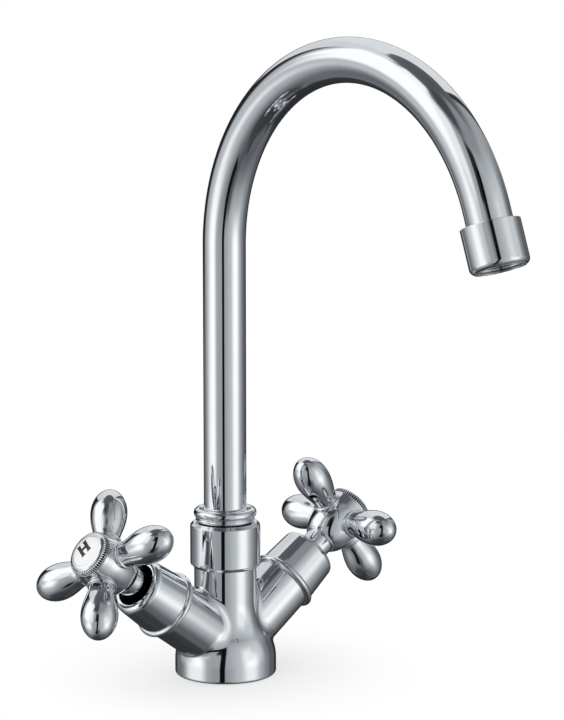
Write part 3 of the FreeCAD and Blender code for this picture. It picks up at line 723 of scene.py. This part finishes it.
index = {"radius": 10.8, "low": 96.2, "high": 99.8, "teeth": 60, "depth": 0.8, "toothColumns": 10,
         "valleyColumns": (7, 8, 9, 0, 1, 2), "footInset": 0.15, "footStep": 0.35,
         "bevelWidth": 1.9, "bevelHeight": 1.2, "bevelBulge": 0.15,
         "rim": 7.72, "discRadius": 7.7, "discTop": 99.55, "discLow": 98.65, "crown": 0.45,
         "bossRadius": 7.6, "bossLow": 94.4, "bossBore": 4.2}


def indexRingShell():
    # Ring whose side is pressed with teeth: radius = profile x (1 - depth x notch(t) / radius) on
    # the toothed band, with notch(t) = (1 + cos(teeth t)) / 2. The real teeth are about 0.9 mm
    # apart, and here 1.1 mm, so that they show. The bevel is a parabola from its foot to its land,
    # pulled out in between.
    c = index
    root = c["radius"] - c["depth"]
    foot = root - c["footInset"]
    bevelFoot, land = c["high"] - c["bevelHeight"], root - c["bevelWidth"]
    t = np.linspace(0, 1, 14)[:, None]
    pull = np.array([(root + land) / 2, (bevelFoot + c["high"]) / 2]) + 2 * c["bevelBulge"]
    bevel = ((1 - t) ** 2 * [root - 0.04, bevelFoot + 0.03] + 2 * t * (1 - t) * pull
             + t * t * [land, c["high"] - 0.01])
    side = roundCorners([(c["bossRadius"], c["low"] - 1), (c["bossRadius"], c["low"], 0.1),
                         (foot, c["low"], 0.12), (foot, c["low"] + c["footStep"], 0.08),
                         (c["radius"], c["low"] + c["footStep"] + 0.1, 0.08),
                         (c["radius"], bevelFoot - 0.25, 0.1),
                         (root - 0.12, bevelFoot - 0.12, 0.06), (root, bevelFoot)], 4)
    inner = roundCorners([(land, c["high"]), (c["rim"], c["high"], 0.1),
                          (c["rim"], c["discLow"], 0.1), (c["bossBore"], c["discLow"], 0.2),
                          (c["bossBore"], c["bossLow"], 0.2), (c["bossRadius"], c["bossLow"], 0.3),
                          (c["bossRadius"], c["low"] - 1.2)], 5)
    columns = c["teeth"] * c["toothColumns"]
    grid = revolve(np.vstack([side[:-1], bevel, inner[1:]]), columns)
    t = np.linspace(0, 2 * np.pi, columns, endpoint=False)
    band = (np.hypot(grid[:, 0, 0], grid[:, 0, 1]) > root + 0.05)[:, None]
    notch = band * (0.5 + 0.5 * np.cos(t * c["teeth"]))
    grid[..., :2] *= (1 - notch * c["depth"] / c["radius"])[..., None]
    return grid, np.flatnonzero(band[:, 0])


def discHeight(radius):
    # Crown of the enamel face: a shallow sphere cap
    c = index
    sphere = (c["discRadius"] ** 2 + c["crown"] ** 2) / (2 * c["crown"])
    return c["discTop"] + c["crown"] - sphere + np.sqrt(sphere ** 2 - radius ** 2)


def discShell():
    # A flat back, a rim with a round edge, and the crowned face in to its middle
    c = index
    face = np.linspace(c["discRadius"] - 0.3, 0.6, 22)
    rim = roundCorners([(2.0, c["discLow"]), (c["discRadius"], c["discLow"], 0.1),
                        (c["discRadius"], c["discTop"] - 0.02, 0.2),
                        (c["discRadius"] - 0.5, c["discTop"] + 0.03)])[:-1]
    return revolve(np.vstack([rim, np.stack([face, discHeight(face)], -1)]), 160)


letter = {"height": 7.6, "width": 5.4, "stroke": 1.7, "serif": 0.5, "lift": 2.4, "angle": 64.7,
          "proud": 0.03, "root": 0.3, "opening": 48}


def strokeShell(path, side, serifs=1):
    # A flat bar along a path on the disc: four edges, half a stroke to each side, just proud of the
    # enamel. The letter's own x-y plane is turned by its angle and lifted along its upright. The
    # ends flare into serifs: half width + serif x |2t - 1|^6.
    way = np.gradient(path, axis=0)
    way /= np.linalg.norm(way, axis=1, keepdims=True)
    flare = np.abs(np.linspace(-1, 1, len(path)))[:, None] ** 6 * letter["serif"] * serifs
    across = np.stack([-way[:, 1], way[:, 0]], -1) * (letter["stroke"] / 2 + flare)
    edges = np.stack([path + across, path - across, path - across, path + across], 1)
    edges[..., 1] += letter["lift"]
    a = math.radians(letter["angle"] - 90) * -side
    x = edges[..., 0] * math.cos(a) - edges[..., 1] * math.sin(a)
    y = edges[..., 0] * math.sin(a) + edges[..., 1] * math.cos(a)
    z = discHeight(np.hypot(x, y)) + np.array([letter["proud"]] * 2 + [-letter["root"]] * 2)
    return onArm(np.stack([x, y, z], -1), side), False, 1


def letterShells(side):
    # H on the hot disc, of two uprights and a bar, and C on the cold one, of an open ellipse
    high, half = letter["height"] / 2, (letter["width"] - letter["stroke"]) / 2
    if side < 0:
        rise = np.linspace(-high, high, 25)
        bar = np.linspace(-half, half, 5)
        return [strokeShell(np.stack([0 * rise - half, rise], -1), side),
                strokeShell(np.stack([0 * rise + half, rise], -1), side),
                strokeShell(np.stack([bar, 0 * bar], -1), side, 0)]
    a = np.radians(np.linspace(letter["opening"], 360 - letter["opening"], 40))
    bow = np.stack([half * np.cos(a), (high - letter["stroke"] / 2) * np.sin(a)], -1)
    return [strokeShell(bow, side)]


for prefix, side in valveSides:
    ring, toothed = indexRingShell()
    ring = onArm(turnedAbout(ring, "Z", handle["restTurn"][side]), side)
    # Between the teeth the plating is dull, and dark as painted shade: the valley columns, on the
    # toothed rows
    face = np.arange(ring.shape[0] * ring.shape[1])
    phase, row = face % index["toothColumns"], face // ring.shape[1]
    inShadedValley = np.isin(phase, index["valleyColumns"]) & (row >= toothed[0]) & (row < toothed[-1])
    makePiece(prefix + "IndexRing", [(ring, True, inShadedValley)],
              prefix + "_handle", [prefix + "_index_ring"], "polished_chrome", [coinValleyShadeAndDullPlate])
    makePiece(prefix + "IndexDisc", [(onArm(discShell(), side), False, 0)] + letterShells(side),
              prefix + "_handle", [prefix + "_index_disc"], "white_enamel", [letterEnamel])
print("index rings and discs made")


# Floor, camera and studio

# Metres, degrees and the lens in millimetres, azimuth from the spout's side towards the hot valve
view = {"azimuth": 40.4, "distance": 1.2411, "height": 0.350, "aside": 0.0267, "pitch": 9.18,
        "lens": 135, "sensor": 36, "nearest": 0.01}
azimuth = math.radians(view["azimuth"])
towards = np.array([-math.sin(azimuth), -math.cos(azimuth), 0])  # from the tap to the camera
right = np.array([math.cos(azimuth), -math.sin(azimuth), 0])
camera = bpy.data.objects.new("camera", bpy.data.cameras.new("camera"))
bpy.context.scene.collection.objects.link(camera)
camera.location = view["aside"] * right + view["distance"] * towards + [0, 0, view["height"]]
camera.rotation_euler = (math.radians(90 - view["pitch"]), 0, -azimuth)
camera.data.lens = view["lens"]
camera.data.sensor_width = view["sensor"]
camera.data.clip_start = view["nearest"]
bpy.context.scene.camera = camera

# White paper floor that fades into the white surround away from the tap, in metres
paper = {"half": 1.5, "level": -0.0002, "colour": "#fafafa", "rough": 0.9, "fadeFrom": 0.02,
         "fadeTo": 0.10, "leastGlow": 0.55}
edge, level = paper["half"], paper["level"]
floorMesh = bpy.data.meshes.new("floor")
floorMesh.from_pydata([(-edge, -edge, level), (edge, -edge, level), (edge, edge, level),
                       (-edge, edge, level)], [], [(0, 1, 2, 3)])
floor = bpy.data.objects.new("floor", floorMesh)
bpy.context.scene.collection.objects.link(floor)
floor.visible_glossy = False  # the chrome mirrors the studio, as the tap stands clear of the paper
floorPaper, tree, shader, place = newMaterial("white floor paper")
shader.inputs["Base Color"].default_value = linearColour(paper["colour"])
shader.inputs["Roughness"].default_value = paper["rough"]
distance = addNode(tree, "ShaderNodeVectorMath", {0: place}, operation="LENGTH")
fade = addNode(tree, "ShaderNodeMapRange",
               {"Value": distance.outputs["Value"], "From Min": paper["fadeFrom"],
                "From Max": paper["fadeTo"], "To Min": paper["leastGlow"]},
               interpolation_type="SMOOTHSTEP")
glow = addNode(tree, "ShaderNodeEmission", {"Color": "#ffffff", "Strength": 1.0})
blendFloor = addNode(tree, "ShaderNodeMixShader",
                     {0: fade.outputs[0], 1: shader.outputs[0], 2: glow.outputs[0]})
tree.links.new(blendFloor.outputs[0], tree.nodes["Material Output"].inputs["Surface"])
floor.data.materials.append(floorPaper)

# Studio round the tap: plain white for the eye and for matt surfaces, and softboxes and dark cards
# for what mirrors it, each with its strength
studio = {"plain": 1.0, "mirrored": 1.2}
# Walls of the studio by elevation in degrees, from the dark table to the dim ceiling
wallStops = [(-90, "#343638"), (-64, "#3f4143"), (-58, "#5d6063"), (-42, "#6b6e71"),
             (-26, "#818487"), (-8, "#979b9e"), (20, "#9b9ea1"), (48, "#979a9d"), (60, "#76797c"),
             (68, "#575a5d"), (90, "#4d5053")]
# Softboxes and cards round the tap, each in front of those before it. Bearing from the camera and
# elevation of the middle, half sizes and width of the soft edge, all in degrees. Lean shifts a card
# sideways and flare widens it, in degrees for each degree of elevation.
cards = [
    {"at": (-165, -36), "half": (26, 46), "edge": 14, "colour": "#303234"},
    {"at": (-124, -22), "half": (18, 26), "edge": 24, "colour": "#626568"},
    {"at": (164, -28), "half": (26, 31), "edge": 9, "colour": "#2b2d2f"},
    {"at": (116, -2), "half": (21, 24), "edge": 26, "colour": "#787b7e"},
    {"at": (132, -14), "half": (13, 30), "edge": 18, "colour": "#56595c"},
    {"at": (-142, 15), "half": (18, 23), "edge": 4, "colour": "#1e2022"},
    {"at": (180, 34), "half": (42, 28), "flare": 0.6, "edge": 4, "colour": "#303235"},
    {"at": (180, 38), "half": (37.5, 26), "flare": 0.56, "edge": 2, "colour": "#d6d8da"},
    {"at": (-140, 37), "half": (16, 25), "lean": 1.1, "edge": 4, "colour": "#cdcfd1"},
    {"at": (56, 2), "half": (36, 38), "edge": 44, "colour": "#babdbf"},
    {"at": (68, 16), "half": (28, 18), "edge": 24, "colour": "#c3c6c8"},
    {"at": (62, -4), "half": (16, 15), "edge": 24, "colour": "#ffffff"},
    {"at": (55, 14), "half": (12, 12), "edge": 16, "colour": "#e8e8e8"},
    {"at": (-70, -20), "half": (28, 24), "edge": 42, "colour": "#b2b5b8"},
    {"at": (-73, -5), "half": (23, 14), "edge": 22, "colour": "#ffffff"},
    {"at": (-102, 10), "half": (20, 20), "edge": 26, "colour": "#b4b7ba"},
    {"at": (-59, 30), "half": (20, 19), "edge": 15, "colour": "#e6e8e9"},
    {"at": (-89, 34), "half": (27, 16), "edge": 12, "colour": "#ffffff"},
    {"at": (-86, 31), "half": (20, 25), "edge": 13, "colour": "#ffffff"},
    {"at": (-74, 56), "half": (16, 8), "edge": 9, "colour": "#f4f5f6"},
    {"at": (42, 66), "half": (32, 14), "edge": 18, "colour": "#85888b"},
    {"at": (75, -67), "half": (40, 9), "edge": 12, "colour": "#5a5d60"},
    {"at": (-28, 65), "half": (24, 12), "edge": 14, "colour": "#424548"},
    {"at": (-8, 35), "half": (12, 15), "lean": 0.1, "edge": 8, "colour": "#242628"},
    {"at": (0, -43), "half": (14, 20), "edge": 16, "colour": "#505356"},
    {"at": (-10.9, -34), "half": (9, 14), "lean": 0.3, "flare": -0.2, "edge": 3,
     "colour": "#141618"},
    {"at": (-4.5, 8), "half": (6, 32), "lean": 0.08, "edge": 2.5, "colour": "#0c0d0f"},
]

world = bpy.data.worlds.new("studio")
bpy.context.scene.world = world
world.use_nodes = True
tree = world.node_tree
tree.nodes.clear()
# Bearing = atan2(share to the right, share towards the camera) and elevation = asin(share upwards)
# of the direction looked at, in degrees
degreesPerRadian = 180 / math.pi
direction = addNode(tree, "ShaderNodeTexCoord").outputs["Generated"]
toCamera = addNode(tree, "ShaderNodeVectorMath", {0: direction, 1: towards},
                   operation="DOT_PRODUCT")
toRight = addNode(tree, "ShaderNodeVectorMath", {0: direction, 1: right}, operation="DOT_PRODUCT")
bearing = addNode(tree, "ShaderNodeMath",
                  {0: toRight.outputs["Value"], 1: toCamera.outputs["Value"]}, operation="ARCTAN2")
bearing = addNode(tree, "ShaderNodeMath", {0: bearing.outputs[0], 1: degreesPerRadian},
                  operation="MULTIPLY")
upward = addNode(tree, "ShaderNodeSeparateXYZ", {0: direction}).outputs["Z"]
elevation = addNode(tree, "ShaderNodeMath", {0: upward}, operation="ARCSINE")
elevation = addNode(tree, "ShaderNodeMath", {0: elevation.outputs[0], 1: degreesPerRadian},
                    operation="MULTIPLY")


def cardMask(card):
    # Inside a card: smooth steps across its width and its height, multiplied. The difference in
    # bearing is brought back to between -180 and 180 degrees.
    middleBearing, middleElevation = card["at"]
    rise = addNode(tree, "ShaderNodeMath", {0: elevation.outputs[0], 1: middleElevation},
                   operation="SUBTRACT")
    aside = addNode(tree, "ShaderNodeMath",
                    {0: rise.outputs[0], 1: -card.get("lean", 0.0), 2: -middleBearing},
                    operation="MULTIPLY_ADD")
    aside = addNode(tree, "ShaderNodeMath", {0: aside.outputs[0], 1: bearing.outputs[0]},
                    operation="ADD")
    aside = addNode(tree, "ShaderNodeMath", {0: aside.outputs[0], 1: 180.0, 2: -180.0},
                    operation="WRAP")
    aside = addNode(tree, "ShaderNodeMath", {0: aside.outputs[0]}, operation="ABSOLUTE")
    aside = addNode(tree, "ShaderNodeMath",
                    {0: rise.outputs[0], 1: -card.get("flare", 0.0), 2: aside.outputs[0]},
                    operation="MULTIPLY_ADD")
    beyond = addNode(tree, "ShaderNodeMath", {0: rise.outputs[0]}, operation="ABSOLUTE")
    soft = card["edge"] / 2
    masks = [addNode(tree, "ShaderNodeMapRange",
                     {"Value": value.outputs[0], "From Min": half + soft, "From Max": half - soft},
                     interpolation_type="SMOOTHSTEP")
             for value, half in zip((aside, beyond), card["half"])]
    return addNode(tree, "ShaderNodeMath", {0: masks[0].outputs[0], 1: masks[1].outputs[0]},
                   operation="MULTIPLY")


fromTable = addNode(tree, "ShaderNodeMapRange",
                    {"Value": elevation.outputs[0], "From Min": -90.0, "From Max": 90.0})
seen = addNode(tree, "ShaderNodeValToRGB", {"Fac": fromTable.outputs[0]},
               stops=[((degrees + 90) / 180, code) for degrees, code in wallStops]).outputs["Color"]
for card in cards:
    seen = addNode(tree, "ShaderNodeMix",
                   {"Factor": cardMask(card).outputs[0], 6: seen, 7: card["colour"]},
                   data_type="RGBA").outputs[2]
mirrored = addNode(tree, "ShaderNodeBackground", {"Color": seen, "Strength": studio["mirrored"]})
plain = addNode(tree, "ShaderNodeBackground", {"Color": "#ffffff", "Strength": studio["plain"]})
path = addNode(tree, "ShaderNodeLightPath")
isMirror = addNode(tree, "ShaderNodeMath",
                   {0: path.outputs["Is Glossy Ray"], 1: path.outputs["Is Camera Ray"]},
                   operation="SUBTRACT", use_clamp=True)
mixed = addNode(tree, "ShaderNodeMixShader",
                {0: isMirror.outputs[0], 1: plain.outputs[0], 2: mirrored.outputs[0]})
addNode(tree, "ShaderNodeOutputWorld", {"Surface": mixed.outputs[0]})

bpy.context.scene.view_settings.view_transform = "Standard"
print("studio made")
